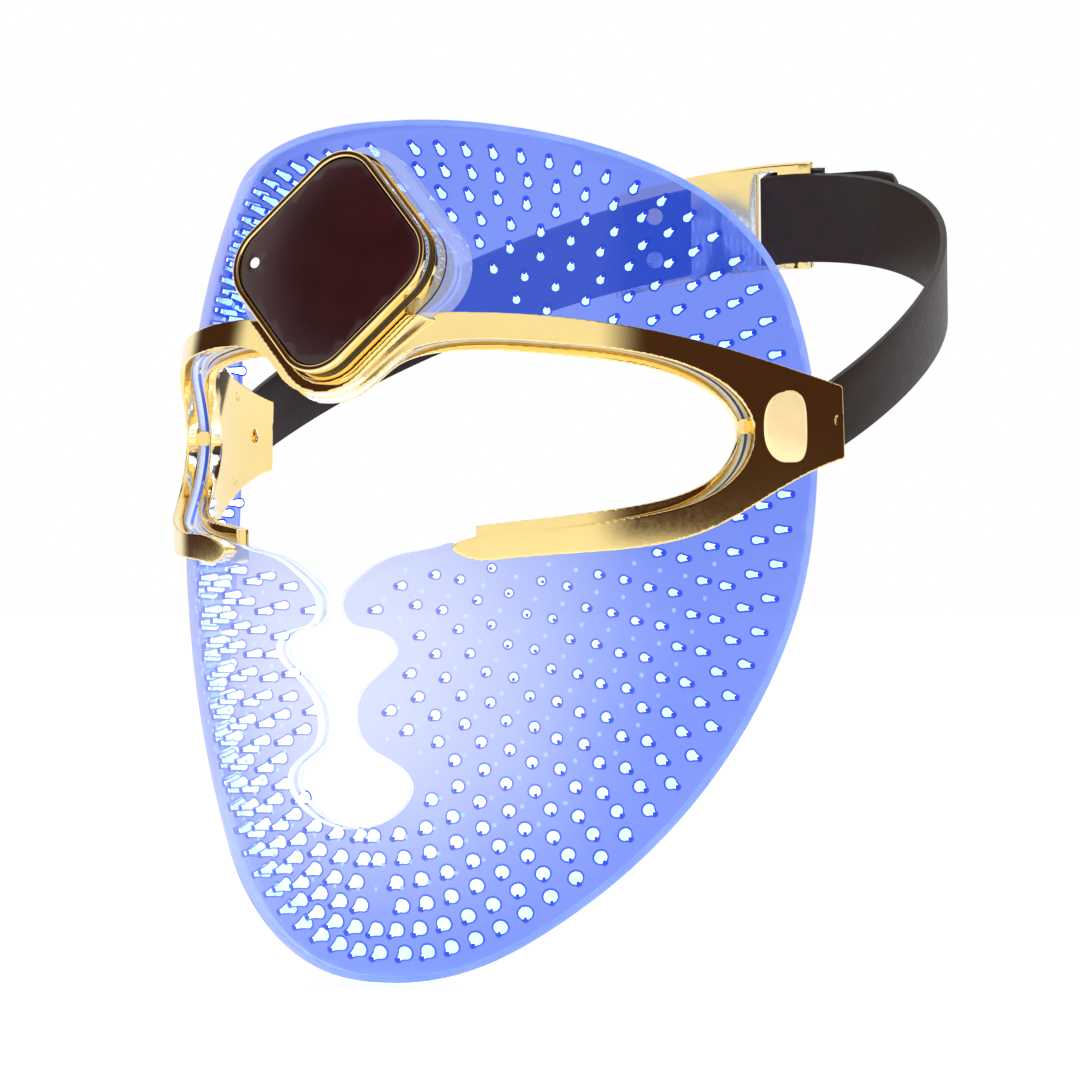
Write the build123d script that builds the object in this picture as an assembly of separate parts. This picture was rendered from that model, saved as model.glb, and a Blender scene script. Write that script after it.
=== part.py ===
from build123d import *
from math import cos, degrees, hypot, pi, radians, sin
import os

# LED light-therapy face mask with a head strap.  Millimetres.
# The face looks along -Y, the wearer's left is +X and up is +Z.  The origin lies
# midway between the two temples, on the axis that the strap swings about.

# ---- the curved shell that every layer follows -----------------------------
# A level cut through the mask is half an ellipse about the vertical line y = AXIS_Y.
# Its half width and its depth are greatest at one height and fall away above and below.
AXIS_Y = 17.0
SHELL_HALF_WIDTH = 87.5      # at its widest
SHELL_DEPTH = 99.5           # from the axis to the front, at its deepest
WIDEST_Z = -20.0
DEEPEST_Z = -25.0
FALL_STEP = 100.0            # the falls below are the loss at this distance
WIDTH_FALL_UP, WIDTH_POWER_UP = 18.5, 2.7
WIDTH_FALL_DOWN = 15.0
DEPTH_FALL_UP = 28.8
DEPTH_FALL_DOWN = 18.8
FALL_POWER = 2.2
SHELL_TOP, SHELL_FOOT = 100.0, -160.0
SECTION_COUNT = 14
SECTION_POINTS = 24

# ---- layers, from the outside in -------------------------------------------
SKIN = 1.2
FILM = 0.3
CHIP = 0.5
LINER = 1.0
CONE = 4.0
FIT = 0.05                   # between surfaces that are glued or clamped
EDGE_SEAL = 1.6              # width of the bead that joins skin and liner
FILM_EDGE = 0.4              # bare strip between that bead and the film
EDGE_RECESS = 1.0            # silicone behind the frame's inner edge

# ---- outlines: (angle round the head in degrees, height) -------------------
RIM = [(0, 72), (25, 69.5), (40, 65), (53, 58.5), (64, 49), (72, 35), (76, 18), (77.5, 0),
       (77, -20), (74.5, -40), (69, -61), (60, -83), (49, -101), (34, -117), (18, -127), (0, -130)]
NOSE_MOUTH = [(22, -25), (17, -28.5), (11, -30.3), (6, -34.5), (2.6, -41), (4, -45.5),
              (9, -47.5), (11.5, -52), (9, -56.5), (5, -62), (3.8, -68), (5.5, -74), (10, -78),
              (12.5, -83), (9.5, -89.5), (0, -93.5)]
FRAME_TOP = [(0, 26), (13, 26), (26, 25.5), (40, 23.5), (53, 20), (66, 15)]
FRAME_FOOT = [(70, -15.5), (57, -25.5), (41, -29.7), (27, -31.2), (22, -30.6), (20, -28.4),
              (22.5, -26.3)]
EYE = [(34, -24.2), (48, -21.4), (58, -17), (64, -9), (65.2, -1), (62.5, 6), (57, 11.4),
       (48, 15.6), (33, 18.5), (19, 19.2), (11, 16), (6.5, 10.5), (0, 7.5)]

# ---- frame -----------------------------------------------------------------
FRAME_END_ANGLE = 82.5
FRAME_END_HALF = 8.6
FRONT_PLATE = 3.0
REAR_PLATE = 2.8
REAR_LEDGE = 2.4             # the rear plate shows this far inside the front one
PIN_R = 1.0
PIN_BORE = 0.1
PIN_SPOTS = [(16, 22.6), (38, 21.0), (56, 15.8), (72, 10.2), (72, -11.0), (52, -23.2), (28, -27.8)]
INLAY_ANGLE = 71.0
INLAY_SIZE = (7.6, 13.6)
INLAY_CORNER = 3.2
INLAY_SEAT = 0.8             # how deep it sits in the front plate
INLAY_RISE = 1.0
INLAY_TAPER = 8.0

# ---- controller on the forehead --------------------------------------------
PUCK_Z = 38.5
PUCK_STAND = 9.6             # its front stands this far before the shell
PUCK_LEAN = 16.5
PUCK_HALF = 27.0             # half diagonal of the rounded square
PUCK_CORNER = 11.0
CAP_T = 2.2
CAP_DOME = 1.4
CAP_TRAVEL = 0.6
CAP_CLEAR = 0.3
BEZEL_T = 2.4
BEZEL_W = 1.6
HOUSING_DEPTH = 12.5         # from bezel to back wall
HOUSING_WALL = 1.6
RING_TOP, RING_FOOT = -4.0, -8.2
RING_W = 0.6                 # gold ring beyond the bezel
COLLAR_W = 2.8
CRADLE_W = 5.2
CRADLE_TOP = -5.4
CRADLE_TAPER = 14.0
SEAM_Y = -12.0               # collar above this line of the controller, cradle below it
SEAM_GAP = 0.2
BOARD_T = 1.0
BATTERY = (22.0, 22.0, 4.2)
SOCKET = (8.9, 7.2, 3.2)
SWITCH = (4.6, 4.6, 1.6)
GEM_R = 1.3
GEM_X = -20.5
PLATE_T = 1.2
STEM_R = 2.0
POST_R = 2.3
POST_SPOT = 20.0
SCREW_R = 0.9

# ---- strap -----------------------------------------------------------------
LOOP_Y = 20.0                # the strap loop is an ellipse about this point
LOOP_INSET = 1.05            # keeps the strap midway between the frame plates
LOOP_HALF_WIDTH = SHELL_HALF_WIDTH - LOOP_INSET
LOOP_REACH = 112.0
STRAP_T = 1.7
STRAP_TEMPLE = 16.6          # height of the strap at the temple
STRAP_BACK = 22.6            # height of the strap at the back of the head
STRAP_RISE = 56.5            # height of its middle at the back
TONGUE_HALF = 3.6            # the narrow root that turns between the frame plates
TONGUE_REACH = 3.4
TONGUE_CLEAR = 0.6           # room round it as it turns
SHOULDER_Y = 2.0
PIVOT_R = 1.6
PIVOT_FIT = 0.15
BUCKLE_T = 1.6
BUCKLE_EDGE = 2.4            # buckle height beyond the strap, each side
BUCKLE_FROM, BUCKLE_TO = -46.0, 3.4
SLOT_FROM, SLOT_TO = -12.4, -6.4
SLOT_FIT = 0.5
STRAP_GAP = 0.1
TAIL_HINGE_X = 6.0
TAIL_END_X = 33.0
TAIL_CORNER = 7.0
RIGHT_STRAP_END = -29.0
RIVET_R = 2.2
RIVET_HEAD = 0.9

# ---- light pattern ---------------------------------------------------------
RING_FIRST = 5.0
RING_PITCH = 6.3
RING_COUNT = 15
CONE_PITCH = 8.2
CONE_TIP_R = 0.7
CONE_WIDE_R = 1.15
CONE_CHIN_R = 2.0
MAIN_CHIP, SMALL_CHIP = 1.6, 1.0
CLEAR_OF_EDGE = 3.2
PATTERN_MID_Z = -25.0
PATTERN_REACH = SHELL_HALF_WIDTH * pi * 0.42


# ---- shell geometry --------------------------------------------------------
def fall(z, peak, up, down, power_up):
    """Loss of size at height z for one section dimension."""
    away = abs(z - peak) / FALL_STEP
    return up * away ** power_up if z > peak else down * away ** FALL_POWER


def half_width(z):
    return SHELL_HALF_WIDTH - fall(z, WIDEST_Z, WIDTH_FALL_UP, WIDTH_FALL_DOWN, WIDTH_POWER_UP)


def depth(z):
    return SHELL_DEPTH - fall(z, DEEPEST_Z, DEPTH_FALL_UP, DEPTH_FALL_DOWN, FALL_POWER)


def slope(size, z):
    return size(z + 0.5) - size(z - 0.5)


def section(z, off):
    """Half width and depth at height z of the shell moved out by off, square to itself."""
    wide = half_width(z) + off * hypot(1, slope(half_width, z))
    deep = depth(z) + off * hypot(1, slope(depth, z))
    return wide, deep


def on_shell(angle, z, off=0.0):
    wide, deep = section(z, off)
    a = radians(angle)
    return Vector(wide * sin(a), AXIS_Y - deep * cos(a), z)


def shell_plane(angle, z, off=0.0):
    """Plane on the shell: its z looks out of the mask and its x runs round the head."""
    across = on_shell(angle + 0.2, z) - on_shell(angle - 0.2, z)
    upward = on_shell(angle, z + 0.2) - on_shell(angle, z - 0.2)
    plane = Plane(on_shell(angle, z), x_dir=across, z_dir=across.cross(upward))
    return plane.offset(off)


def shell_body(off):
    """Solid head form whose surface is the shell moved out by off."""
    if off not in BODIES:
        faces = []
        for i in range(SECTION_COUNT):
            z = SHELL_FOOT + (SHELL_TOP - SHELL_FOOT) * i / (SECTION_COUNT - 1)
            wide, deep = section(z, off)
            ring = [(wide * cos(radians(t)), AXIS_Y + deep * sin(radians(t)), z)
                    for t in range(0, 360, 360 // SECTION_POINTS)]
            faces.append(make_face(Spline(*ring, periodic=True)))
        BODIES[off] = loft(faces)
    return BODIES[off]


# Outlines are drawn on an upright plane that faces halfway between front and side,
# so one straight cut follows the whole half of the shell.
CUT_PLANE = Plane((0, 0, 0), x_dir=(1, 1, 0), z_dir=(1, -1, 0))
CUT_REACH = 150.0
BODIES = {}


def flat(angle, z):
    """Where a shell point falls on the cutting plane."""
    p = CUT_PLANE.to_local_coords(on_shell(angle, z))
    return (p.X, p.Y)


def unrolled(angle, z):
    """The same point with the shell rolled out flat, for spacing the lights."""
    return (radians(angle) * SHELL_HALF_WIDTH, z)


def past_middle(points):
    """An outline carried a step over the middle line, so the two halves meet smoothly."""
    run = list(points)
    if run[0][0] == 0:
        run.insert(0, (-run[1][0], run[1][1]))
    if run[-1][0] == 0:
        run.append((-run[-2][0], run[-2][1]))
    return run


def outline(runs, place=flat):
    """Closed face from smooth runs of shell points, closed beyond the middle line."""
    placed = [[place(*p) for p in past_middle(run)] for run in runs]
    edges = [Spline(*run) for run in placed]
    edges += [Line(placed[i][-1], placed[i + 1][0]) for i in range(len(runs) - 1)]
    start, end = placed[0][0], placed[-1][-1]
    edges.append(Polyline(end, (-CUT_REACH, end[1]), (-CUT_REACH, start[1]), start))
    return make_face(Curve() + edges)


def cutter(face):
    """Straight cutters through both halves of the shell, one the mirror of the other."""
    half = Pos(CUT_REACH / 2, 0, 0) * Box(CUT_REACH, 4 * CUT_REACH, 4 * CUT_REACH)
    right = extrude(CUT_PLANE * face, CUT_REACH) & half
    return right + mirror(right, Plane.YZ)


def band(face, outer, inner):
    """The part of the shell between two offsets that lies inside an outline, both halves."""
    return (shell_body(outer) & cutter(face)) - shell_body(inner)


def both_sides(solid):
    return Part() + [solid, mirror(solid, Plane.YZ)]


# ---- outlines as faces -----------------------------------------------------
SKIN_IN = -SKIN
FILM_IN = SKIN_IN - FILM
LINER_OUT = FILM_IN - CHIP
LINER_IN = LINER_OUT - LINER


def frame_run():
    end = [(FRAME_END_ANGLE, FRAME_END_HALF)]
    return FRAME_TOP + end, [(FRAME_END_ANGLE, -FRAME_END_HALF)] + FRAME_FOOT + EYE


def moved(run, step):
    """An outline run moved sideways on the shell, to the right of its direction of travel."""
    spots = [unrolled(*p) for p in run]
    shifted = []
    for i, (s, z) in enumerate(spots):
        before, after = spots[max(i - 1, 0)], spots[min(i + 1, len(spots) - 1)]
        along, up = after[0] - before[0], after[1] - before[1]
        if run[i][0] == 0:
            up = 0
        reach = step / hypot(along, up)
        shifted.append((degrees((s + up * reach) / SHELL_HALF_WIDTH), z - along * reach))
    return shifted


def eye_hole(grow=0.0, place=flat):
    return outline([moved(FRAME_FOOT[-1:] + EYE, grow)], place)


def nose_hole(grow=0.0, place=flat):
    return outline([moved(NOSE_MOUTH, -grow)], place)


def rim_face(inset=0.0):
    """Everything inside the rim, or inside a smaller copy of it with the same middle."""
    share = 1 - inset / (SHELL_TOP - PATTERN_MID_Z)
    return outline([[(a * share, PATTERN_MID_Z + (z - PATTERN_MID_Z) * share) for a, z in RIM]])


def silicone_face():
    return rim_face() - eye_hole(EDGE_RECESS) - nose_hole()


def rear_face():
    """Frame outline whose inner edge stands a ledge inside the front plate's."""
    full = outline(frame_run()) + eye_hole()
    tip, _ = flat(FRAME_FOOT[-1][0] + 1.5, 0)
    nose = Pos(tip - CUT_REACH, -CUT_REACH / 2) * Rectangle(2 * CUT_REACH, CUT_REACH)
    return full - eye_hole(-REAR_LEDGE) - nose


# ---- controller ------------------------------------------------------------
PUCK = Plane((0, AXIS_Y - depth(PUCK_Z) - PUCK_STAND, PUCK_Z), x_dir=(1, 0, 0),
             z_dir=(0, -cos(radians(PUCK_LEAN)), sin(radians(PUCK_LEAN))))
SQUARE = 2 ** 0.5 * (PUCK_HALF + PUCK_CORNER * (2 ** 0.5 - 1))
HOUSING_GROW = -0.6
HOUSING_FOOT = -BEZEL_T - HOUSING_DEPTH
CAP_GROW = -BEZEL_W - CAP_CLEAR
PLATE_TOP = -CAP_T - 1.0
BOARD_TOP = HOUSING_FOOT + HOUSING_WALL + BATTERY[2] + BOARD_T
OUTSIDE = RING_W + 0.2       # what surrounds the gold ring starts here


def puck_face(grow):
    return Rot(0, 0, 45) * RectangleRounded(SQUARE + 2 * grow, SQUARE + 2 * grow, PUCK_CORNER + grow)


def puck_slab(grow, top, foot, taper=0.0):
    """Rounded-square slab between two heights on the controller's own axis."""
    return PUCK * Pos(0, 0, foot) * extrude(puck_face(grow), top - foot, taper=taper)


def puck_pipe(outer, inner, top, foot):
    return puck_slab(outer, top, foot) - puck_slab(inner, top + 1, foot - 1)


def on_puck(x, y, foot, shape):
    """A shape whose lowest face stands at a height on the controller's axis."""
    return PUCK * Pos(x, y, foot) * shape


def rod(radius, length):
    return Cylinder(radius, length, align=(Align.CENTER, Align.CENTER, Align.MIN))


def block(size):
    return Box(*size, align=(Align.CENTER, Align.CENTER, Align.MIN))


def socket_place(grow):
    """The charging socket's frame: on the board, square to the upper side on the wearer's right."""
    reach = SQUARE / 2 + RING_W - SOCKET[1] / 2
    return PUCK * Rot(0, 0, 45) * Pos(0, reach, BOARD_TOP - grow) * Box(
        SOCKET[0] + 2 * grow, SOCKET[1] + 2 * grow, SOCKET[2] + 2 * grow,
        align=(Align.CENTER, Align.CENTER, Align.MIN))


def face_cap():
    half = SQUARE / 2 + CAP_GROW
    curve = half ** 2 / (2 * CAP_DOME)
    dome = on_puck(0, 0, CAP_DOME - curve, Rot(90, 0, 0) * Sphere(curve))
    cap = puck_slab(CAP_GROW, CAP_DOME, -CAP_T) & dome
    stem_foot = BOARD_TOP + SWITCH[2] + CAP_TRAVEL + FIT
    cap += on_puck(0, 0, stem_foot, rod(STEM_R, -CAP_T - stem_foot + 0.5))
    return cap - on_puck(GEM_X, 0, -0.6, rod(GEM_R, 4))


def indicator_gem():
    return on_puck(GEM_X, 0, -0.6, rod(GEM_R, 0.8)) + on_puck(
        GEM_X, 0, 0.2, Cone(GEM_R, GEM_R * 0.55, 0.5, align=(Align.CENTER, Align.CENTER, Align.MIN)))


def post_spots():
    return [(POST_SPOT, 0), (0, POST_SPOT), (-POST_SPOT, 0), (0, -POST_SPOT)]


def housing():
    shell = puck_slab(HOUSING_GROW, -BEZEL_T, HOUSING_FOOT)
    shell -= puck_slab(HOUSING_GROW - HOUSING_WALL, 0, HOUSING_FOOT + HOUSING_WALL)
    shell -= puck_slab(CAP_GROW + CAP_CLEAR, 0, -CAP_T - CAP_TRAVEL - CAP_CLEAR)
    floor = HOUSING_FOOT + HOUSING_WALL
    for x, y in post_spots():
        shell += on_puck(x, y, floor - 0.2, rod(POST_R, BATTERY[2] + 0.2))
        shell -= on_puck(x, y, HOUSING_FOOT - 1, rod(SCREW_R, HOUSING_WALL + BATTERY[2]))
    return shell - socket_place(FIT)


def housing_screws():
    length = HOUSING_WALL + BATTERY[2] - 1.2
    return Part() + [on_puck(x, y, HOUSING_FOOT, rod(SCREW_R - 0.02, length)) for x, y in post_spots()]


def housing_ring():
    ring = puck_pipe(RING_W, HOUSING_GROW + FIT, RING_TOP, RING_FOOT)
    return ring - socket_place(FIT)


def inner_plate():
    plate = puck_slab(HOUSING_GROW - HOUSING_WALL - FIT, PLATE_TOP, PLATE_TOP - PLATE_T)
    return plate - on_puck(0, 0, PLATE_TOP - 2 * PLATE_T, rod(STEM_R + 0.4, 4 * PLATE_T))


def circuit_board():
    return puck_slab(HOUSING_GROW - HOUSING_WALL - 0.4, BOARD_TOP, BOARD_TOP - BOARD_T)


def battery():
    return PUCK * Rot(0, 0, 45) * Pos(0, 0, HOUSING_FOOT + HOUSING_WALL) * block(BATTERY)


def button_switch():
    return on_puck(0, 0, BOARD_TOP, block(SWITCH))


def cap_spring():
    ring = rod(STEM_R + 3.0, -CAP_T - PLATE_TOP) - rod(STEM_R + 1.2, 2)
    return on_puck(0, 0, PLATE_TOP, ring)


def beyond_seam(side, gap=0.0):
    """Half space above (1) or below (-1) the line where collar and cradle meet."""
    return PUCK * Pos(0, SEAM_Y + side * (50 + gap), 0) * Box(120, 100, 60)


def collar():
    ring = puck_pipe(OUTSIDE + COLLAR_W, OUTSIDE, RING_FOOT - 0.2, HOUSING_FOOT)
    plate = band(outline(frame_run()), FRONT_PLATE + FIT, 0)
    return (ring & beyond_seam(1, SEAM_GAP)) - shell_body(FIT) - plate


def cradle():
    solid = puck_slab(CRADLE_W + 2, CRADLE_TOP, -20, taper=CRADLE_TAPER) & beyond_seam(-1)
    return solid - shell_body(FIT)


# ---- frame -----------------------------------------------------------------
def spot_pins(radius, outer, inner, grow=0.0):
    """Pins square to the shell, right half then mirrored."""
    pins = []
    for angle, z in PIN_SPOTS:
        pins.append(shell_plane(angle, z, inner) * rod(radius + grow, outer - inner))
    return both_sides(Part() + pins)


def pivot_axis(radius, inner, outer):
    """Round bar along X at the temple on the wearer's left."""
    x = section(0, 0)[0]
    return Plane((x + inner, 0, 0), z_dir=(1, 0, 0)) * rod(radius, outer - inner)


def front_frame():
    plate = band(outline(frame_run()), FRONT_PLATE, FIT)
    solid = plate + cradle()
    solid -= puck_slab(OUTSIDE, 20, -40)
    solid -= spot_pins(PIN_R, FRONT_PLATE * 0.6, -1.0)
    solid -= both_sides(inlay_block(1, FIT, 5))
    bore = pivot_axis(PIVOT_R, -8, FRONT_PLATE * 0.5)
    return solid - bore - mirror(bore, Plane.YZ)


def rear_frame():
    out = LINER_IN - FIT
    solid = band(rear_face(), out, out - REAR_PLATE) - puck_slab(0.2, 20, -40)
    solid -= spot_pins(PIN_R, 1.0, out - REAR_PLATE - 1)
    bore = pivot_axis(PIVOT_R, -12, 4)
    return solid - bore - mirror(bore, Plane.YZ)


def frame_pins():
    return spot_pins(PIN_R, FRONT_PLATE * 0.6, LINER_IN - FIT - REAR_PLATE)


def inlay_block(side, grow, high, taper=0.0):
    """Upright pill beside the outer corner of the eye, its foot in a pocket of the front plate."""
    place = shell_plane(side * INLAY_ANGLE, 0, FRONT_PLATE - INLAY_SEAT)
    wide, tall = INLAY_SIZE
    foot = RectangleRounded(wide + 2 * grow, tall + 2 * grow, INLAY_CORNER + grow)
    return place * extrude(foot, high, taper=taper)


def temple_inlay(side):
    """The gold pill on the wearer's left (1) or right (-1)."""
    return inlay_block(side, 0.0, INLAY_SEAT + INLAY_RISE, INLAY_TAPER)


def pivot_pin():
    return pivot_axis(PIVOT_R - 0.02, LINER_IN - REAR_PLATE + 0.4, FRONT_PLATE * 0.5 - 0.1)


# ---- silicone layers and lights --------------------------------------------
def layer(face, outer, inner):
    sheet = band(face, outer, inner) - puck_slab(HOUSING_GROW + 0.2, 20, -40)
    return sheet - turning_room() - spot_pins(PIN_R, outer + 1, inner - 1, PIN_BORE)


def turning_room():
    """Room round both roots of the strap, which turn beside the rim."""
    room = pivot_axis(TONGUE_REACH + TONGUE_CLEAR, -12, 4)
    return room + mirror(room, Plane.YZ)


def edge_seal():
    """Bead that joins skin and liner all round the rim."""
    return band(rim_face(), SKIN_IN, LINER_OUT) - cutter(rim_face(EDGE_SEAL)) - turning_room()


def flex_circuit():
    """Film just inside the skin, drawn in from every edge."""
    inset = EDGE_SEAL + FILM_EDGE
    sheet = band(rim_face(inset), SKIN_IN, FILM_IN)
    sheet -= cutter(eye_hole(EDGE_RECESS + inset))
    sheet -= cutter(nose_hole(inset))
    sheet -= puck_slab(HOUSING_GROW + 0.2, 20, -40)
    return sheet - spot_pins(PIN_R, 1, LINER_IN, PIN_BORE)


def ring_line(share):
    """The rim outline rolled out flat and shrunk to a share of its size, right half."""
    shrunk = []
    for angle, z in RIM:
        s, t = unrolled(angle, z)
        shrunk.append((s * share, PATTERN_MID_Z + (t - PATTERN_MID_Z) * share))
    shrunk = [(-shrunk[1][0], shrunk[1][1])] + shrunk + [(-shrunk[-2][0], shrunk[-2][1])]
    return Spline(*shrunk)


def light_spots():
    """Shell spots of the main lights, and of the small ones halfway between them."""
    frame = outline(frame_run(), unrolled)
    eye, nose = eye_hole(0.0, unrolled), nose_hole(0.0, unrolled)
    main, small = [], []
    for i in range(RING_COUNT):
        line = ring_line(1 - (RING_FIRST + RING_PITCH * i) / PATTERN_REACH)
        count = int(line.length / CONE_PITCH)
        shift = 0.5 if i % 2 else 0.25
        for k in range(count + 1):
            for spots, step in ((main, shift), (small, shift + 0.5)):
                t = (k + step) / count
                if t >= 1:
                    continue
                p = line.position_at(t)
                angle = degrees(p.X / SHELL_HALF_WIDTH)
                if p.X < 2.0 or (spots is small and (i < 3 or p.Y > -32)):
                    continue
                here = Vertex(p.X, p.Y, 0)
                if min(eye.distance_to(here), nose.distance_to(here)) < CLEAR_OF_EDGE:
                    continue
                local = PUCK.to_local_coords(on_shell(angle, p.Y))
                if frame.distance_to(here) < 1.8 or abs(local.X) + abs(local.Y) < PUCK_HALF + 8:
                    continue
                spots.append((angle, p.Y))
    return main, small


def cone_radius(z):
    chin = min(1.0, max(0.0, (-50 - z) / 60))
    return CONE_WIDE_R + (CONE_CHIN_R - CONE_WIDE_R) * chin


def light_cones(spots):
    cones = []
    for angle, z in spots:
        shape = Cone(cone_radius(z), CONE_TIP_R, CONE, align=(Align.CENTER, Align.CENTER, Align.MIN))
        cones.append(shell_plane(angle, z, LINER_IN - FIT - CONE) * shape)
    return cones


def chips(spots, size):
    chip = block((size, size, CHIP - 2 * FIT))
    return [shell_plane(angle, z, LINER_OUT + FIT) * chip for angle, z in spots]


def group(solids):
    """One node of separate solids, with their mirror images."""
    return Compound(children=solids + [mirror(s, Plane.YZ) for s in solids])


# ---- strap -----------------------------------------------------------------
LOOP_BACK = LOOP_Y + LOOP_REACH
FOLD_IN = BUCKLE_T + 2 * STRAP_GAP          # inner face of the folded strap, off the loop
TURN_X = (SLOT_FROM + SLOT_TO) / 2          # where the strap goes through the buckle


def loop_wall(inner, outer):
    """Upright wall between two copies of the strap loop, seen from above."""
    ring = Ellipse(LOOP_HALF_WIDTH + outer, LOOP_REACH + outer)
    ring -= Ellipse(LOOP_HALF_WIDTH + inner, LOOP_REACH + inner)
    return Pos(0, LOOP_Y, -60) * extrude(ring, 200)


def side_band(extra=0.0, front=SHOULDER_Y):
    """Side view of the strap's height, carried across the whole width."""
    slant = STRAP_RISE / LOOP_BACK
    low, high = STRAP_TEMPLE / 2 + extra, STRAP_BACK / 2 + extra
    far = LOOP_BACK + 10
    half = low + (high - low) * far / LOOP_BACK
    near = low + (high - low) * front / LOOP_BACK
    pts = [(front, slant * front - near), (far, slant * far - half),
           (far, slant * far + half), (front, slant * front + near)]
    return Pos(-150, 0, 0) * extrude(Plane.YZ * make_face(Polyline(*pts, close=True)), 300)


def between_x(left, right):
    return Pos((left + right) / 2, 80, 0) * Box(right - left, 300, 400)


def back_half():
    return Pos(0, LOOP_Y + 100, 0) * Box(300, 200, 400)


def strap_tongue():
    shape = Pos(0, 0) * Circle(TONGUE_REACH) + Pos(SHOULDER_Y / 2 + 0.5, 0) * Rectangle(
        SHOULDER_Y + 1, 2 * TONGUE_HALF)
    return extrude(Plane.YZ * shape, 150) - pivot_axis(PIVOT_R + PIVOT_FIT, -20, 20)


def strap_left():
    """From the wearer's left temple, round the buckle's end bar and back on itself."""
    start = TURN_X - STRAP_T / 2
    solid = loop_wall(-STRAP_T, 0) & ((side_band() & between_x(start, 120)) + strap_tongue())
    fold = loop_wall(FOLD_IN, FOLD_IN + STRAP_T) & between_x(start, TAIL_HINGE_X)
    web = loop_wall(-STRAP_T, FOLD_IN + STRAP_T) & between_x(start, start + STRAP_T)
    return solid + ((fold + web) & side_band() & back_half())


def strap_tail():
    """Free end of the folded strap, with rounded corners."""
    start = TAIL_HINGE_X + STRAP_GAP
    _, y = loop_point((start + TAIL_END_X) / 2)
    end = RectangleRounded(2 * (TAIL_END_X - start), STRAP_BACK + 2, TAIL_CORNER)
    place = Plane((start, 0, STRAP_RISE * y / LOOP_BACK), x_dir=(1, 0, 0), z_dir=(0, 1, 0))
    solid = loop_wall(FOLD_IN, FOLD_IN + STRAP_T) & side_band() & back_half()
    return solid & extrude(place * end, 200) & between_x(start, TAIL_END_X)


def strap_right():
    """From the wearer's right temple to the rivets at the buckle."""
    band_part = side_band() & between_x(-120, RIGHT_STRAP_END)
    solid = loop_wall(-STRAP_T, 0) & (band_part + mirror(strap_tongue(), Plane.YZ))
    return solid - rivet_rods(RIVET_R)


def loop_point(x):
    return x, LOOP_Y + LOOP_REACH * (1 - (x / LOOP_HALF_WIDTH) ** 2) ** 0.5


def rivet_rods(radius):
    """Two rods through strap and buckle, square to the loop."""
    rods = []
    x, y = loop_point((BUCKLE_FROM + RIGHT_STRAP_END) / 2)
    normal = Vector(x / LOOP_HALF_WIDTH ** 2, (y - LOOP_Y) / LOOP_REACH ** 2, 0)
    for up in (-1, 1):
        z = STRAP_RISE * y / LOOP_BACK + up * STRAP_BACK * 0.25
        place = Plane((x, y, z), z_dir=normal).offset(-STRAP_T - RIVET_HEAD)
        rods.append(place * rod(radius, STRAP_T + BUCKLE_T + 2 * RIVET_HEAD))
    return rods


def buckle():
    plate = loop_wall(STRAP_GAP, STRAP_GAP + BUCKLE_T) & side_band(BUCKLE_EDGE)
    plate &= between_x(BUCKLE_FROM, BUCKLE_TO)
    slot = side_band(SLOT_FIT) & between_x(SLOT_FROM, SLOT_TO)
    return (plate & back_half()) - slot - rivet_rods(RIVET_R)


def rivets():
    return Part() + rivet_rods(RIVET_R - 0.02)


# ---- write the parts -------------------------------------------------------
def sub_parts():
    silicone = silicone_face()
    main, small = light_spots()
    upper = [s for s in main if s[1] > 0]
    lower = [s for s in main if s[1] <= 0]
    yield "outer_skin", layer(silicone, 0.0, SKIN_IN)
    yield "edge_seal", edge_seal()
    yield "flex_circuit", flex_circuit()
    yield "inner_liner", layer(silicone, LINER_OUT, LINER_IN)
    yield "led_chips", group(chips(main, MAIN_CHIP))
    yield "near_infrared_leds", group(chips(small, SMALL_CHIP))
    yield "light_cones_forehead", group(light_cones(upper))
    yield "light_cones_cheeks", group(light_cones(lower))
    yield "front_frame", front_frame()
    yield "rear_frame", rear_frame()
    yield "frame_pins", frame_pins()
    yield "temple_inlay_left", temple_inlay(1)
    yield "temple_inlay_right", temple_inlay(-1)
    yield "pivot_pin_left", pivot_pin()
    yield "pivot_pin_right", mirror(pivot_pin(), Plane.YZ)
    yield "controller_collar", collar()
    yield "controller_housing", housing()
    yield "housing_screws", housing_screws()
    yield "housing_ring", housing_ring()
    yield "bezel_ring", puck_pipe(0, -BEZEL_W, 0, -BEZEL_T)
    yield "inner_plate", inner_plate()
    yield "face_cap", face_cap()
    yield "indicator_gem", indicator_gem()
    yield "cap_spring", cap_spring()
    yield "button_switch", button_switch()
    yield "circuit_board", circuit_board()
    yield "battery", battery()
    yield "charging_socket", socket_place(0)
    yield "strap_left", strap_left()
    yield "strap_right", strap_right()
    yield "strap_tail", strap_tail()
    yield "strap_buckle", buckle()
    yield "buckle_rivets", rivets()


if __name__ == "__main__":
    os.makedirs("parts", exist_ok=True)
    for name, solid in sub_parts():
        export_step(solid, f"parts/{name}.step")
        print(name, len(solid.solids()), round(solid.volume, 1))
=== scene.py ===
from math import copysign, cos, pi, radians, sin

import bmesh
import bpy
import numpy as np
from mathutils import Matrix, Vector


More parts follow.
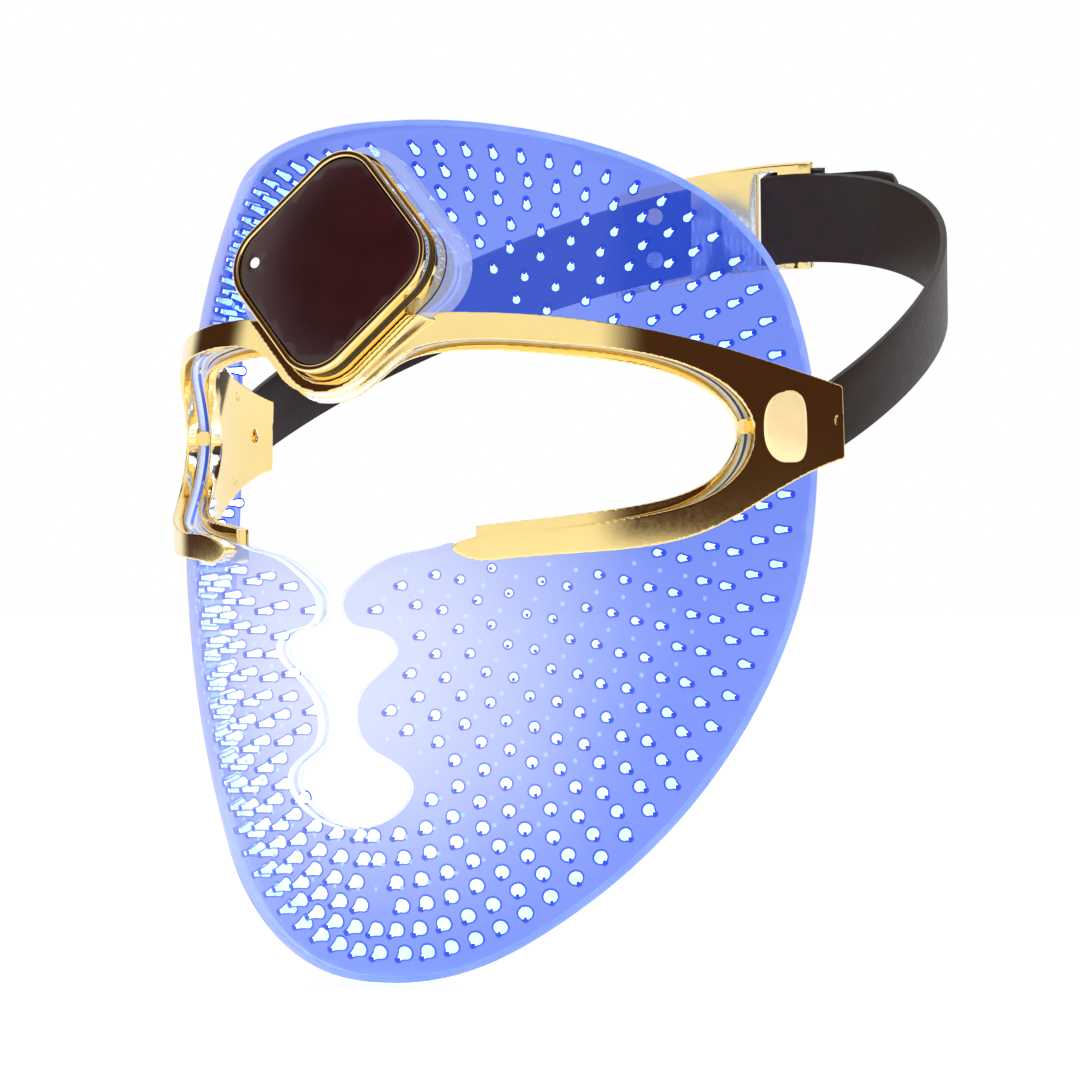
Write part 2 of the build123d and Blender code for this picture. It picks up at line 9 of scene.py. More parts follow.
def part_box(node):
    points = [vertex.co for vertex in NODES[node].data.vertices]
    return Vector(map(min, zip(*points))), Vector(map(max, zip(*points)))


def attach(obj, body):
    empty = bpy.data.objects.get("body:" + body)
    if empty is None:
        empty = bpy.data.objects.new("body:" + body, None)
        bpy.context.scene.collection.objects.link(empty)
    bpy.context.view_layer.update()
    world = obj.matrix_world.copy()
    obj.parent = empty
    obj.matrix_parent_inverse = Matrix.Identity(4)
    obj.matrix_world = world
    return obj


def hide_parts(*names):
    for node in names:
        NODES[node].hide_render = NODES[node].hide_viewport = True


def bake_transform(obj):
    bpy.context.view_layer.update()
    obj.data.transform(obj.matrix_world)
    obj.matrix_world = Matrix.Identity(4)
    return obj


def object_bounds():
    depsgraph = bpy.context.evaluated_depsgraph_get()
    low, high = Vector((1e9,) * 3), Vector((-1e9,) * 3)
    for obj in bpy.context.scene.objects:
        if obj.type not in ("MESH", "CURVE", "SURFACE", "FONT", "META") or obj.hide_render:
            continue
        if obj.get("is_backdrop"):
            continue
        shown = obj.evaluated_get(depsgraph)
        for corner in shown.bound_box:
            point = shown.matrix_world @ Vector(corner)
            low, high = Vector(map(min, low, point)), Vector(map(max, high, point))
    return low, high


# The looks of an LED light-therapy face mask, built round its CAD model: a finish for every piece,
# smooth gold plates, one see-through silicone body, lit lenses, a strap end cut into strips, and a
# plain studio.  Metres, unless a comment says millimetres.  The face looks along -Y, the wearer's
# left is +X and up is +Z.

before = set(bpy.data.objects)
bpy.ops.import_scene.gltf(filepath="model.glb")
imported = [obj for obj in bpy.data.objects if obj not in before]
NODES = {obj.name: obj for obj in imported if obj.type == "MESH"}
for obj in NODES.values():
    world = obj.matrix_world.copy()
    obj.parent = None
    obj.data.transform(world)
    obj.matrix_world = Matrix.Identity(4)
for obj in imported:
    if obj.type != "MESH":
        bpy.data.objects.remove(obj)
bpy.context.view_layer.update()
MM = 0.001
SIDES = ((1, "left"), (-1, "right"))


# ---- the shell that every layer follows, in millimetres ----------------------
# A level cut through it is half an ellipse about the upright line y = AXIS_Y.  Its half width and
# its depth are each greatest at one height, and fall away above and below by (loss, power): the
# loss is the one at LOSS_STEP from that height.
AXIS_Y = 17.0
HALF_WIDTH, WIDEST_Z = 87.5, -20.0
DEPTH, DEEPEST_Z = 99.5, -25.0
LOSS_STEP = 100.0
WIDTH_LOSS_UP, WIDTH_LOSS_DOWN = (18.5, 2.7), (15.0, 2.2)
DEPTH_LOSS_UP, DEPTH_LOSS_DOWN = (28.8, 2.2), (18.8, 2.2)
FRONT_FACES = (0.05, 3.0)    # how far out of the shell the front plate's two faces lie
REAR_FACES = (-3.05, -5.85)


def size_at(z, most, peak, loss_up, loss_down):
    """Half width or depth of the shell at heights z."""
    away = np.abs(z - peak) / LOSS_STEP
    return most - np.where(z > peak, loss_up[0] * away ** loss_up[1], loss_down[0] * away ** loss_down[1])


def section(z, off):
    """Half width and depth at heights z of the shell moved out by off, square to itself."""
    sizes = []
    for shape in ((HALF_WIDTH, WIDEST_Z, WIDTH_LOSS_UP, WIDTH_LOSS_DOWN),
                  (DEPTH, DEEPEST_Z, DEPTH_LOSS_UP, DEPTH_LOSS_DOWN)):
        slope = size_at(z + 0.5, *shape) - size_at(z - 0.5, *shape)
        sizes.append(size_at(z, *shape) + off * np.hypot(1, slope))
    return sizes


def share_of_shell(points, off):
    """How far each point is from the axis, where 1 is on the shell moved out by off."""
    wide, deep = section(points[:, 2], off)
    return np.hypot(points[:, 0] / wide, (points[:, 1] - AXIS_Y) / deep)


def shell_spot(angle, z, off):
    """Point in metres on the shell moved out by off, at an angle in degrees round from the front."""
    wide, deep = section(z, off)
    a = radians(angle)
    return Vector((wide * sin(a), AXIS_Y - deep * cos(a), z)) * MM


def outward(point):
    """Level direction out of the shell at a point in metres."""
    return Vector((point.x / HALF_WIDTH ** 2, (point.y - AXIS_Y * MM) / DEPTH ** 2, 0)).normalized()


# ---- materials ---------------------------------------------------------------
class Nodes:
    """Short calls for building the node tree of a material or a world."""

    def __init__(self, owner):
        self.owner = owner
        owner.use_nodes = True
        self.tree = owner.node_tree
        self.tree.nodes.clear()

    def add(self, kind, links=(), **settings):
        node = self.tree.nodes.new(kind)
        for key, value in settings.items():
            if key in node.inputs.keys():
                node.inputs[key].default_value = value
            else:
                setattr(node, key, value)
        for key, source in dict(links).items():
            self.link(source, node.inputs[key])
        return node

    def link(self, source, socket):
        out = source.outputs[0] if hasattr(source, "outputs") else source
        self.tree.links.new(out, socket)

    def coords(self, kind="Object"):
        return self.add("ShaderNodeTexCoord").outputs[kind]

    def noise(self, scale, detail=3.0):
        node = self.add("ShaderNodeTexNoise", {"Vector": self.coords()}, Scale=scale, Detail=detail)
        node.inputs["Roughness"].default_value = 0.5
        return node.outputs["Fac"]

    def ramp(self, source, stops):
        node = self.add("ShaderNodeValToRGB", {"Fac": source})
        for item, (place, colour) in zip(node.color_ramp.elements, stops):
            item.position = place
            item.color = (*colour, 1.0)
        return node.outputs["Color"]

    def two_tone(self, source, first, second):
        """Colour that runs from the first to the second over the middle of the source."""
        return self.ramp(source, [(0.3, first), (0.7, second)])

    def spread(self, source, low, high, start=0.0, stop=1.0, soft=False):
        """Carries the range from start to stop over to the one from low to high."""
        ends = {"From Min": start, "From Max": stop, "To Min": low, "To Max": high}
        node = self.add("ShaderNodeMapRange", {"Value": source}, **ends)
        if soft:
            node.interpolation_type = "SMOOTHSTEP"
        return node.outputs["Result"]

    def vector(self, operation, source, second=None):
        node = self.add("ShaderNodeVectorMath", {0: source}, operation=operation)
        if second is not None:
            node.inputs[1].default_value = second
        return node.outputs["Value" if operation in ("DISTANCE", "DOT_PRODUCT") else "Vector"]

    def bump(self, source, strength, distance):
        return self.add("ShaderNodeBump", {"Height": source}, Strength=strength, Distance=distance)

    def mix(self, share, first, second):
        """Mix of two shaders; the share of the second is a number or a source."""
        node = self.add("ShaderNodeMixShader", {1: first, 2: second})
        if isinstance(share, float):
            node.inputs["Fac"].default_value = share
        else:
            self.link(share, node.inputs["Fac"])
        return node

    def finish(self, shader, output="ShaderNodeOutputMaterial"):
        self.add(output, {"Surface": shader})
        return self.owner


def material_nodes(name):
    return Nodes(bpy.data.materials.new(name))


def polished_metal(name, tint, rough):
    n = material_nodes(name)
    bsdf = n.add("ShaderNodeBsdfPrincipled", {
        "Base Color": n.two_tone(n.noise(90.0), [c * 0.95 for c in tint], tint),
        "Roughness": n.spread(n.noise(900.0, 2.0), rough * 0.7, rough * 1.4),
        "Normal": n.bump(n.noise(2500.0, 2.0), 0.02, 0.00005)}, Metallic=1.0)
    return n.finish(bsdf)


PAINTED_LIGHT_CENTRE = (0.0, -0.080, -0.052)      # the silicone's painted light is palest here, between nose and mouth
PAINTED_LIGHT_REACH = (0.012, 0.085)              # it deepens between these distances
PAINTED_LIGHT_WANDER = 0.012
GLOSS_POWER = 3.5                        # how late the gloss sets in as the surface turns edge on
GLOSS_SQUARE, GLOSS_EDGE = 0.03, 0.7     # its share seen square on and edge on


def painted_light_by_place(n, pale, deep):
    """A colour with painted light: pale round the nose and mouth and deep towards the rim."""
    distance = n.vector("DISTANCE", n.coords(), PAINTED_LIGHT_CENTRE)
    wander = n.spread(n.noise(14.0, 2.0), -PAINTED_LIGHT_WANDER, PAINTED_LIGHT_WANDER)
    uneven = n.add("ShaderNodeMath", {0: distance, 1: wander}, operation="ADD")
    return n.ramp(n.spread(uneven, 0.0, 1.0, *PAINTED_LIGHT_REACH, soft=True), [(0.0, pale), (1.0, deep)])


def clear_silicone(name, tint, glow, share, rough):
    """See-through tinted silicone with a painted glow, an emission that stands for the LEDs' light inside
    it; tint and glow are (pale, deep).
    """
    n = material_nodes(name)
    clear = n.add("ShaderNodeBsdfTransparent", {"Color": painted_light_by_place(n, *tint)})
    # painted glow: the LEDs' light in the silicone given as the silicone's own emission
    light = n.add("ShaderNodeEmission", {"Color": painted_light_by_place(n, *glow)}, Strength=1.0)
    gloss = n.add("ShaderNodeBsdfGlossy", {
        "Roughness": n.spread(n.noise(300.0), rough * 0.7, rough * 1.3),
        "Normal": n.bump(n.noise(220.0, 2.0), 0.06, 0.0002)})
    edge_on = n.add("ShaderNodeLayerWeight", Blend=0.5).outputs["Facing"]
    steep = n.add("ShaderNodeMath", {0: edge_on}, operation="POWER")
    steep.inputs[1].default_value = GLOSS_POWER
    gloss_share = n.spread(steep, GLOSS_SQUARE, GLOSS_EDGE)
    return n.finish(n.mix(gloss_share, n.mix(share, clear, light), gloss))


def light_source(name, first, second, strength):
    n = material_nodes(name)
    colour = n.two_tone(n.noise(500.0, 2.0), first, second)
    return n.finish(n.add("ShaderNodeEmission", {"Color": colour}, Strength=strength))


def lit_surface(name, first, second, rough, strength, scale=120.0):
    """A plain surface in two close colours that gives off a soft light: a painted glow on the silicone's
    edges, and an even lift that keeps the floor white.
    """
    n = material_nodes(name)
    colour = n.two_tone(n.noise(scale, 2.0), first, second)
    bsdf = n.add("ShaderNodeBsdfPrincipled", {"Base Color": colour, "Emission Color": colour})
    bsdf.inputs["Roughness"].default_value = rough
    bsdf.inputs["Emission Strength"].default_value = strength
    return n.finish(bsdf)


def tinted_clear(name, tint):
    n = material_nodes(name)
    colour = n.two_tone(n.noise(300.0, 2.0), tint, [min(1.0, c * 1.2) for c in tint])
    return n.finish(n.add("ShaderNodeBsdfTransparent", {"Color": colour}))


def plastic(name, first, second, rough, coat=0.0, grain=400.0, bump=0.05, metallic=0.0, gloss=0.5):
    """Two close colours in a fine grain, which also roughens the surface and raises it a little."""
    n = material_nodes(name)
    bsdf = n.add("ShaderNodeBsdfPrincipled", {
        "Base Color": n.two_tone(n.noise(grain), first, second),
        "Roughness": n.spread(n.noise(grain * 2), rough * 0.8, rough * 1.2),
        "Normal": n.bump(n.noise(grain * 3, 2.0), bump, 0.0001)}, Metallic=metallic)
    bsdf.inputs["Specular IOR Level"].default_value = gloss
    bsdf.inputs["Coat Weight"].default_value = coat
    bsdf.inputs["Coat Roughness"].default_value = 0.03
    return n.finish(bsdf)


GOLD = polished_metal("polished_gold", (1.0, 0.77, 0.32), 0.08)
INLAY = plastic("satin_gold", (0.95, 0.72, 0.36), (1.0, 0.78, 0.42), 0.3, grain=200.0, bump=0.02,
                metallic=0.25)
STRAP = plastic("strap_silicone", (0.013, 0.006, 0.005), (0.019, 0.009, 0.008), 0.45, grain=250.0,
                bump=0.08, gloss=0.25)
CAP = plastic("burgundy_gloss", (0.020, 0.002, 0.003), (0.030, 0.003, 0.005), 0.3, coat=0.6,
              grain=60.0, bump=0.0, gloss=0.2)
DARK = plastic("dark_plastic", (0.012, 0.009, 0.009), (0.02, 0.015, 0.015), 0.35)
STEEL = plastic("steel", (0.55, 0.55, 0.57), (0.66, 0.66, 0.68), 0.3, grain=600.0, bump=0.04,
                metallic=1.0)
BOARD = plastic("board_green", (0.01, 0.09, 0.04), (0.02, 0.13, 0.06), 0.5)
CELL = plastic("cell_foil", (0.6, 0.61, 0.64), (0.7, 0.7, 0.72), 0.35, grain=200.0, bump=0.3,
               metallic=0.6)
GEM = plastic("gem", (0.8, 0.86, 0.95), (0.95, 0.97, 1.0), 0.08, coat=1.0, grain=900.0, bump=0.2)
# painted glow and painted light: emission for the LEDs' light in the silicone, palest round the nose and
# mouth
SILICONE_PAINTED_GLOW = clear_silicone("silicone", [(0.93, 0.95, 1.0), (0.66, 0.74, 0.97)],
                          [(0.62, 0.68, 1.0), (0.045, 0.14, 1.0)], 0.36, 0.14)
# painted glow: a pale lit line along the silicone's cut edges and the edge seal, standing for the bright
# rim
PAINTED_RIM_GLOW = lit_surface("silicone_edge_painted_glow", (0.52, 0.62, 1.0), (0.64, 0.72, 1.0), 0.25, 0.4)
# painted glow in the clear collar too
COLLAR = clear_silicone("collar_silicone", [(0.95, 0.96, 1.0), (0.93, 0.95, 1.0)],
                        [(0.60, 0.68, 1.0), (0.60, 0.68, 1.0)], 0.3, 0.1)
CORE = light_source("lens_core", (0.97, 0.98, 1.0), (1.0, 1.0, 1.0), 18.0)
TIP = light_source("lens_tip", (0.03, 0.09, 0.75), (0.05, 0.13, 0.9), 1.0)
SLEEVE = tinted_clear("lens_sleeve", (0.24, 0.34, 0.86))
DOT = light_source("small_light", (0.45, 0.70, 1.0), (0.6, 0.82, 1.0), 1.5)


# ---- finishes of the CAD nodes -----------------------------------------------
FINISHES = (
    (PAINTED_RIM_GLOW, ("edge_seal",)),
    (GOLD, ("front_frame", "rear_frame", "housing_ring", "bezel_ring", "strap_buckle",
            "buckle_rivets", "frame_pins", "pivot_pin_left", "pivot_pin_right")),
    (STEEL, ("housing_screws", "cap_spring", "charging_socket")),
    (DARK, ("controller_housing", "inner_plate", "button_switch")),
    (BOARD, ("circuit_board",)),
    (CELL, ("battery",)),
    (CAP, ("face_cap",)),
    (GEM, ("indicator_gem",)),
    (COLLAR, ("controller_collar",)),
    (STRAP, ("strap_left", "strap_right")),
)
EDGE_ROUNDING = {
    "bezel_ring": 0.0004, "housing_ring": 0.0004, "face_cap": 0.0005, "strap_buckle": 0.0005,
    "strap_left": 0.0005, "strap_right": 0.0005, "controller_collar": 0.0006, "buckle_rivets": 0.0003,
}
SAME_POINT = 0.00001         # a CAD mesh repeats its points; modifiers join those nearer than this
REPEATED = 0.000001          # and the pieces rebuilt here join those nearer than this


def finish_nodes():
    for material, names in FINISHES:
        for name in names:
            NODES[name].data.materials.clear()
            NODES[name].data.materials.append(material)


def add_weld(ob):
    ob.modifiers.new("weld", "WELD").merge_threshold = SAME_POINT


def round_edges():
    for name, width in EDGE_ROUNDING.items():
        add_weld(NODES[name])
        mod = NODES[name].modifiers.new("bevel", "BEVEL")
        mod.width, mod.segments = width, 3
        mod.limit_method, mod.angle_limit = "ANGLE", radians(30)


# ---- new pieces --------------------------------------------------------------
def new_object(name, data):
    ob = bpy.data.objects.new(name, data)
    bpy.context.scene.collection.objects.link(ob)
    return ob


def mesh_piece(name, bm, materials, body="root", recalc=True):
    """A piece from a bmesh, which rides on a body unless body is None."""
    mesh = bpy.data.meshes.new(name)
    if recalc:
        bmesh.ops.recalc_face_normals(bm, faces=bm.faces)
    bm.to_mesh(mesh)
    bm.free()
    for material in materials:
        mesh.materials.append(material)
    mesh.set_sharp_from_angle(angle=radians(40))
    piece = new_object(name, mesh)
    if body:
        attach(piece, body)
    return piece


def joined_mesh(node):
    """A CAD node's mesh with its repeated points joined."""
    bm = bmesh.new()
    bm.from_mesh(NODES[node].data)
    bmesh.ops.remove_doubles(bm, verts=bm.verts, dist=REPEATED)
    return bm


# ---- gold plates -------------------------------------------------------------
VOXEL = 0.0003
SNAP_WITHIN, SNAP_LIMIT = 0.15, 0.45     # millimetres from a face: wholly laid on it, and left alone
TYPICAL_RADIUS = 90.0                    # millimetres; turns a share of the shell into a distance


def laid_on_shell(points, faces):
    """Points in millimetres, those beside one of the plate's two faces laid on it."""
    for off in faces:
        share = share_of_shell(points, off)
        away = np.abs(share - 1.0) * TYPICAL_RADIUS
        pull = np.clip((SNAP_LIMIT - away) / (SNAP_LIMIT - SNAP_WITHIN), 0.0, 1.0)
        factor = 1.0 + pull * (1.0 / share - 1.0)
        points[:, 0] *= factor
        points[:, 1] = AXIS_Y + (points[:, 1] - AXIS_Y) * factor
    return points


def gold_plate(node, name, faces):
    """A plate's CAD mesh with rounded edges, its two faces laid exactly on the smooth shell."""
    ob = NODES[node]
    add_weld(ob)
    remesh = ob.modifiers.new("remesh", "REMESH")
    remesh.mode, remesh.voxel_size = "VOXEL", VOXEL
    soften = ob.modifiers.new("soften", "SMOOTH")
    soften.factor, soften.iterations = 0.5, 10
    mesh = bpy.data.meshes.new_from_object(ob.evaluated_get(bpy.context.evaluated_depsgraph_get()))
    ob.modifiers.clear()
    points = np.empty(len(mesh.vertices) * 3)
    mesh.vertices.foreach_get("co", points)
    points = laid_on_shell(points.reshape(-1, 3) / MM, faces)
    mesh.vertices.foreach_set("co", (points * MM).ravel())
    mesh.polygons.foreach_set("use_smooth", [True] * len(mesh.polygons))
    mesh.materials.clear()
    mesh.materials.append(GOLD)
    piece = new_object(name, mesh)
    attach(piece, "root")
    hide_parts(node)


# ---- silicone ----------------------------------------------------------------
SQUARE_ON = 0.78             # a face squarer to the shell than this is a surface of its layer


def layer_side(face):
    """1 for a face on the outside of a layer, -1 on its inside and 0 on its edge."""
    square = face.normal.dot(outward(face.calc_center_median()))
    return 0 if abs(square) < SQUARE_ON else copysign(1, square)


def silicone_body():
    """One moulding: the skin's outside, the liner's inside and the edges of both."""
    whole = bmesh.new()
    for node, hidden in (("outer_skin", -1), ("inner_liner", 1)):
        part = joined_mesh(node)
        part.normal_update()
        sides = [(face, layer_side(face)) for face in part.faces]
        for face, side in sides:
            # edge faces take the painted rim glow
            face.material_index = 1 if side == 0 else 0
        bmesh.ops.delete(part, geom=[face for face, side in sides if side == hidden], context="FACES")
        mesh = bpy.data.meshes.new(node + "_surface")
        part.to_mesh(mesh)
        part.free()
        whole.from_mesh(mesh)
    piece = mesh_piece("silicone_body", whole, [SILICONE_PAINTED_GLOW, PAINTED_RIM_GLOW], recalc=False)
    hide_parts("outer_skin", "inner_liner", "flex_circuit")


# ---- lights ------------------------------------------------------------------
LENS_ROOT, ROOT_SHARE = 0.0009, 0.95     # its length inside the silicone, its share of the narrow radius
LENS_NOSE = ((0.78, 0.97), (0.92, 0.82), (1.0, 0.42))    # shares of the length and the wide radius
SLEEVE_OUT = 0.0002          # the blue sleeve stands this far outside the CAD cone
CORE_IN = 0.00025            # the white core lies this far inside it
CORE_SINK = 0.0002
TIP_FROM, TIP_TO = -0.0008, -0.0003      # the dark chip's place on the lens's own axis
TIP_SHARE = 0.62             # of the narrow radius
DOT_SHAPE = ((-0.0002, 0.00035), (0.0, 0.00055), (0.0002, 0.00035))      # (along, radius)
END_DEPTH = 0.0001           # points this near to a cone's end belong to it


def islands(node):
    """Each separate solid of a CAD node, as an array of its points."""
    bm = joined_mesh(node)
    seen, solids = set(), []
    for start in bm.verts:
        if start in seen:
            continue
        seen.add(start)
        waiting, group = [start], []
        while waiting:
            vertex = waiting.pop()
            group.append(list(vertex.co))
            for edge in vertex.link_edges:
                other = edge.other_vert(vertex)
                if other not in seen:
                    seen.add(other)
                    waiting.append(other)
        solids.append(np.array(group))
    bm.free()
    return solids


def cone_shape(points):
    """Narrow end, unit axis towards the wide end, length, wide and narrow radius of one CAD cone."""
    middle = points.mean(0)
    axis = np.linalg.svd(points - middle)[2][0]
    along = (points - middle) @ axis
    radial = np.linalg.norm((points - middle) - np.outer(along, axis), axis=1)
    high, low = along > along.max() - END_DEPTH, along < along.min() + END_DEPTH
    if radial[high].mean() < radial[low].mean():
        axis, along, high, low = -axis, -along, low, high
    foot, length = middle + axis * along.min(), along.max() - along.min()
    return foot, axis, length, radial[high].max(), radial[low].max()


def lathe(bm, origin, axis, profile, sides=12):
    """Adds a surface of revolution: profile is (distance along the axis, radius)."""
    turn = Vector(axis).to_track_quat("Z", "X")
    angles = [2 * pi * k / sides for k in range(sides)]
    rings = []
    for along, radius in profile:
        spots = [Vector((radius * cos(a), radius * sin(a), along)) for a in angles]
        rings.append([bm.verts.new(Vector(origin) + turn @ spot) for spot in spots])
    for low, high in zip(rings, rings[1:]):
        for k in range(sides):
            j = (k + 1) % sides
            bm.faces.new((low[k], low[j], high[j], high[k]))
    bm.faces.new(rings[0][::-1])
    bm.faces.new(rings[-1])


def lenses():
    """Round-nosed lenses in place of the CAD cones: a white core in a blue sleeve, dark at the chip."""
    cores, sleeves, tips = bmesh.new(), bmesh.new(), bmesh.new()
    for node in ("light_cones_forehead", "light_cones_cheeks"):
        for points in islands(node):
            foot, axis, length, wide, narrow = cone_shape(points)
            profile = [(0.0, narrow), (0.5 * length, (narrow + wide) / 2)]
            profile += [(length * along, wide * across) for along, across in LENS_NOSE]
            root = [(-LENS_ROOT, narrow * ROOT_SHARE)]
            lathe(sleeves, foot, axis, [(a, r + SLEEVE_OUT) for a, r in root + profile])
            lathe(cores, foot, axis, [(a - CORE_SINK, r - CORE_IN) for a, r in profile])
            lathe(tips, foot, axis, [(a, narrow * TIP_SHARE) for a in (TIP_FROM, TIP_TO)])
    core = mesh_piece("lens_cores", cores, [CORE])
    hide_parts("light_cones_forehead", "light_cones_cheeks")
    tip = mesh_piece("light_tips", tips, [TIP])
    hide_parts("led_chips")
    mesh_piece("lens_sleeves", sleeves, [SLEEVE])


def small_lights():
    dots = bmesh.new()
    for points in islands("near_infrared_leds"):
        middle = Vector(points.mean(0))
        lathe(dots, middle, outward(middle), DOT_SHAPE, 10)
    piece = mesh_piece("small_lights", dots, [DOT])
    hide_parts("near_infrared_leds")


# ---- free end of the strap ---------------------------------------------------
STRIP, STRIP_COUNT = 0.001, 11           # the tail is cut into strips over a little more than that
CUT_TOLERANCE = 0.0000001
TAIL_GAP = 0.00012           # carries the tail over its gap to the fold and just into it


def strap_free_end():
    """The CAD tail, carried on to the fold and cut into strips."""
    bm = joined_mesh("strap_tail")
    low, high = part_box("strap_tail")
    for vertex in bm.verts:
        if vertex.co.x < low.x + SAME_POINT:
            vertex.co.x -= TAIL_GAP
    for k in range(STRIP_COUNT):
        bmesh.ops.bisect_plane(bm, geom=bm.verts[:] + bm.edges[:] + bm.faces[:], dist=CUT_TOLERANCE,
                               plane_co=(low.x + STRIP * (k + 1), 0, 0), plane_no=(1, 0, 0))
    piece = mesh_piece("strap_free_end", bm, [STRAP], body=None)
    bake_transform(piece)
    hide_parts("strap_tail")


# ---- gold details ------------------------------------------------------------
PILL_ANGLE, PILL_Z = 70.0, -1.2          # degrees round the head, millimetres up
PILL_HALF = (3.8, 8.2)                   # the same two ways; it covers its CAD pocket
PILL_RISE, PILL_FOOT = 1.0, -0.6         # millimetres from the plate's outer face
PILL_EYE_SIDE, PILL_EAR_SIDE = (1.0, 0.8), (0.45, 0.6)   # powers of its outline: less is squarer
PILL_RINGS, PILL_CORNERS = 8, 48
BLOCK_ANGLE, BLOCK_Z, BLOCK_OFF = 64.76, -1.0, -1.39     # degrees, millimetres, millimetres
BLOCK_SIZE = (0.0031, 0.0022, 0.0034)    # through the shell, round the head, up
BLOCK_ROUNDING = 0.0004


def pill_spot(a, reach):
    """Angle and height of a point of the D outline, round towards the eye, or of a smaller copy."""
    across, up = cos(a), sin(a)
    power_across, power_up = PILL_EYE_SIDE if across < 0 else PILL_EAR_SIDE
    across = copysign(abs(across) ** power_across, across)
    up = copysign(abs(up) ** power_up, up)
    return PILL_ANGLE + reach * across * PILL_HALF[0], PILL_Z + reach * up * PILL_HALF[1]


def temple_pill(side):
    """Low domed D beside the outer corner of the eye."""
    dome = [pi / 2 * k / (PILL_RINGS - 0.5) for k in range(PILL_RINGS)]
    levels = [(1.0, PILL_FOOT)] + [(cos(t), PILL_RISE * sin(t)) for t in dome]
    bm = bmesh.new()
    rings = []
    for reach, lift in levels:
        spots = [pill_spot(2 * pi * j / PILL_CORNERS, reach) for j in range(PILL_CORNERS)]
        off = FRONT_FACES[1] + lift
        rings.append([bm.verts.new(shell_spot(side * angle, z, off)) for angle, z in spots])
    for low, high in zip(rings, rings[1:]):
        for j in range(PILL_CORNERS):
            bm.faces.new((low[j], low[j - 1], high[j - 1], high[j]))
    bm.faces.new(rings[-1])
    bm.faces.new(rings[0][::-1])
    return bm


def temple_block(side):
    """Small block between the two plates at the outer corner of the eye."""
    place = shell_spot(side * BLOCK_ANGLE, BLOCK_Z, BLOCK_OFF)
    out, up = outward(place), Vector((0, 0, 1))
    turn = Matrix((out, up.cross(out), up)).transposed().to_4x4()
    shape = Matrix.Translation(place) @ turn @ Matrix.Diagonal((*BLOCK_SIZE, 1.0))
    bm = bmesh.new()
    bmesh.ops.create_cube(bm, size=1.0)
    bmesh.ops.transform(bm, matrix=shape, verts=bm.verts)
    bmesh.ops.bevel(bm, geom=bm.edges[:], offset=BLOCK_ROUNDING, segments=2, affect="EDGES")
    return bm


def gold_details():
    for side, word in SIDES:
        pill = mesh_piece("temple_pill_" + word, temple_pill(side), [INLAY])
        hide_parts("temple_inlay_" + word)
    for side, word in SIDES:
        mesh_piece("temple_block_" + word, temple_block(side), [GOLD])


# ---- floor and lights --------------------------------------------------------
FLOOR_HALF, FLOOR_GAP = 6.0, 0.0005
KEY_PLACE, KEY_AIM = (0.9, -1.2, 1.1), (0, -0.04, 0)
KEY_SIDE, KEY_POWER = 0.9, 10.0          # metres, watts
WHITE = (1.0, 1.0, 1.0, 1.0)
FLAG_COLOUR = (0.055, 0.022, 0.014, 1.0)
# azimuth, elevation (None for a whole upright strip), half width and soft edge, in degrees
FLAGS = ((104, None, 34, 16), (-100, None, 10, 12), (-33, 33, 13, 12))


def floor():
    bm = bmesh.new()
    bmesh.ops.create_grid(bm, x_segments=1, y_segments=1, size=FLOOR_HALF)
    mesh = bpy.data.meshes.new("floor")
    bm.to_mesh(mesh)
    bm.free()
    paper = lit_surface("studio_paper", (0.93, 0.93, 0.94), (0.95, 0.95, 0.95), 0.9, 0.14, 3.0)
    mesh.materials.append(paper)
    sheet = new_object("floor", mesh)
    sheet.location = (0, 0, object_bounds()[0].z - FLOOR_GAP)
    sheet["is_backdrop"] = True


def towards(n, azimuth, elevation):
    """How directly a ray points at a bearing: azimuth from the front towards the wearer's left."""
    way = n.coords("Generated")
    if elevation is None:
        way = n.vector("MULTIPLY", way, (1.0, 1.0, 0.0))
    a, lift = radians(azimuth), radians(elevation or 0.0)
    bearing = (sin(a) * cos(lift), -cos(a) * cos(lift), sin(lift))
    return n.vector("DOT_PRODUCT", n.vector("NORMALIZE", way), bearing)


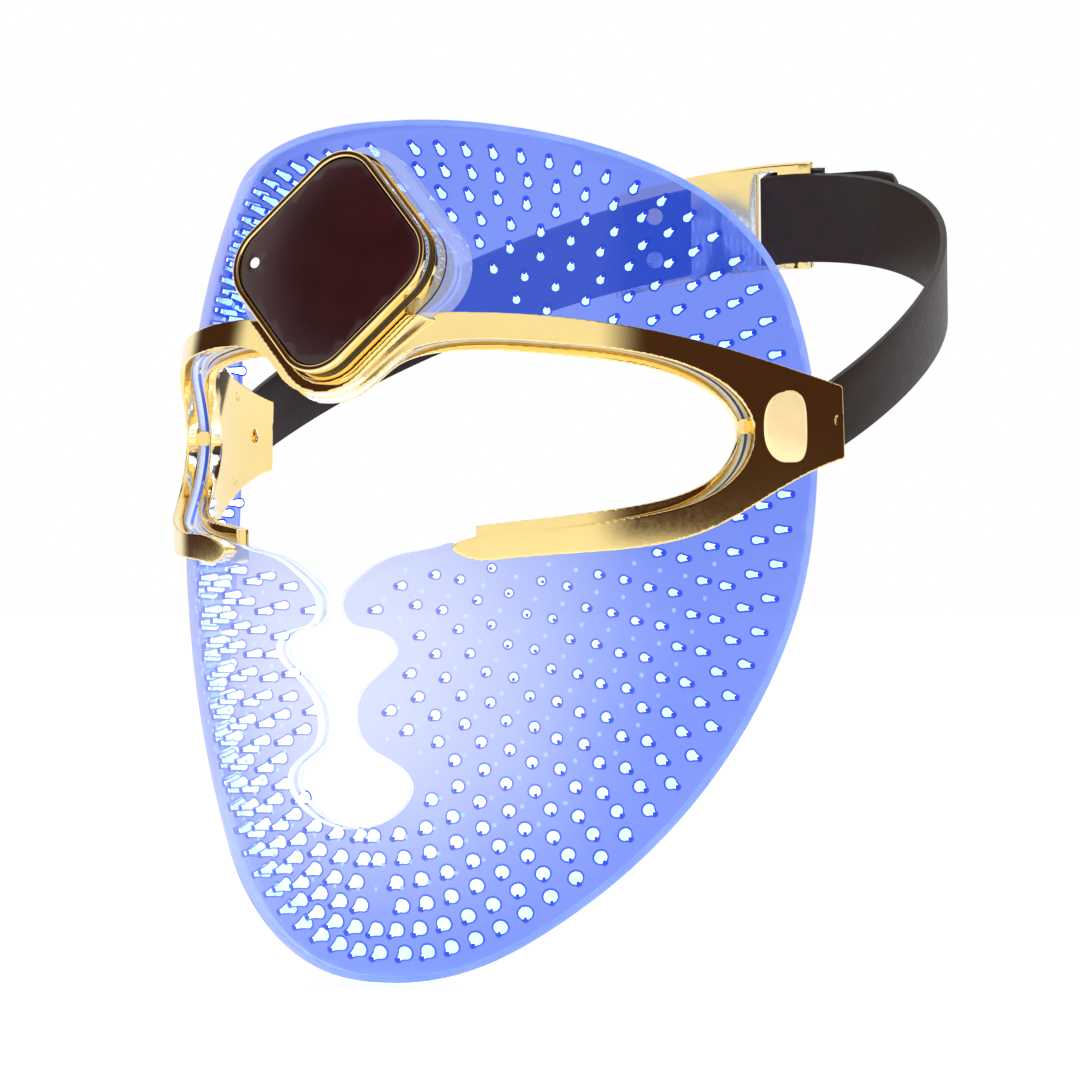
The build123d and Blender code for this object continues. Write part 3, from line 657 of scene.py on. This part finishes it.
def studio_world():
    """White all round, with soft dark flags that only the glossy surfaces show."""
    n = Nodes(bpy.data.worlds.new("studio"))
    links = {}
    for azimuth, elevation, half, soft in FLAGS:
        edge, heart = cos(radians(half + soft)), cos(radians(half))
        links["Factor"] = n.spread(towards(n, azimuth, elevation), 0.0, 1.0, edge, heart, soft=True)
        mix = n.add("ShaderNodeMix", links, data_type="RGBA", A=WHITE, B=FLAG_COLOUR)
        links["A"] = mix.outputs["Result"]
    flagged = n.add("ShaderNodeBackground", {"Color": links["A"]})
    plain = n.add("ShaderNodeBackground", Color=WHITE)
    glossy = n.add("ShaderNodeLightPath").outputs["Is Glossy Ray"]
    return n.finish(n.mix(glossy, plain, flagged), "ShaderNodeOutputWorld")


def key_light():
    data = bpy.data.lights.new("key", "AREA")
    data.shape = "RECTANGLE"
    data.size = data.size_y = KEY_SIDE
    data.energy = KEY_POWER
    lamp = new_object("key", data)
    lamp.location = KEY_PLACE
    lamp.rotation_mode = "QUATERNION"
    lamp.rotation_quaternion = (Vector(KEY_AIM) - Vector(KEY_PLACE)).to_track_quat("-Z", "Y")
    lamp.visible_glossy = False


# ---- camera ------------------------------------------------------------------
CAMERA_PLACE = (0.8255, -1.2549, -0.0268)
CAMERA_TURN, CAMERA_ROLL = 33.19, -0.64      # degrees, from straight ahead and from upright
SENSOR_WIDTH, LENS_LENGTH = 36.0, 206.667    # millimetres


def camera():
    data = bpy.data.cameras.new("camera")
    data.sensor_width, data.lens = SENSOR_WIDTH, LENS_LENGTH
    data.clip_start, data.clip_end = 0.05, 30.0
    turn, roll = radians(CAMERA_TURN), radians(CAMERA_ROLL)
    forward = Vector((-sin(turn), cos(turn), 0))
    level, upright = Vector((cos(turn), sin(turn), 0)), Vector((0, 0, 1))
    right = level * cos(roll) + upright * sin(roll)
    up = upright * cos(roll) - level * sin(roll)
    pose = Matrix((right, up, -forward)).transposed().to_4x4()
    pose.translation = Vector(CAMERA_PLACE)
    viewer = new_object("camera", data)
    viewer.matrix_world = pose
    bpy.context.scene.camera = viewer


# ---- build -------------------------------------------------------------------
finish_nodes()
round_edges()
gold_plate("front_frame", "front_plate", FRONT_FACES)
gold_plate("rear_frame", "rear_plate", REAR_FACES)
silicone_body()
lenses()
small_lights()
strap_free_end()
gold_details()
floor()
bpy.context.scene.world = studio_world()
key_light()
camera()
bpy.context.scene.view_settings.view_transform = "Standard"
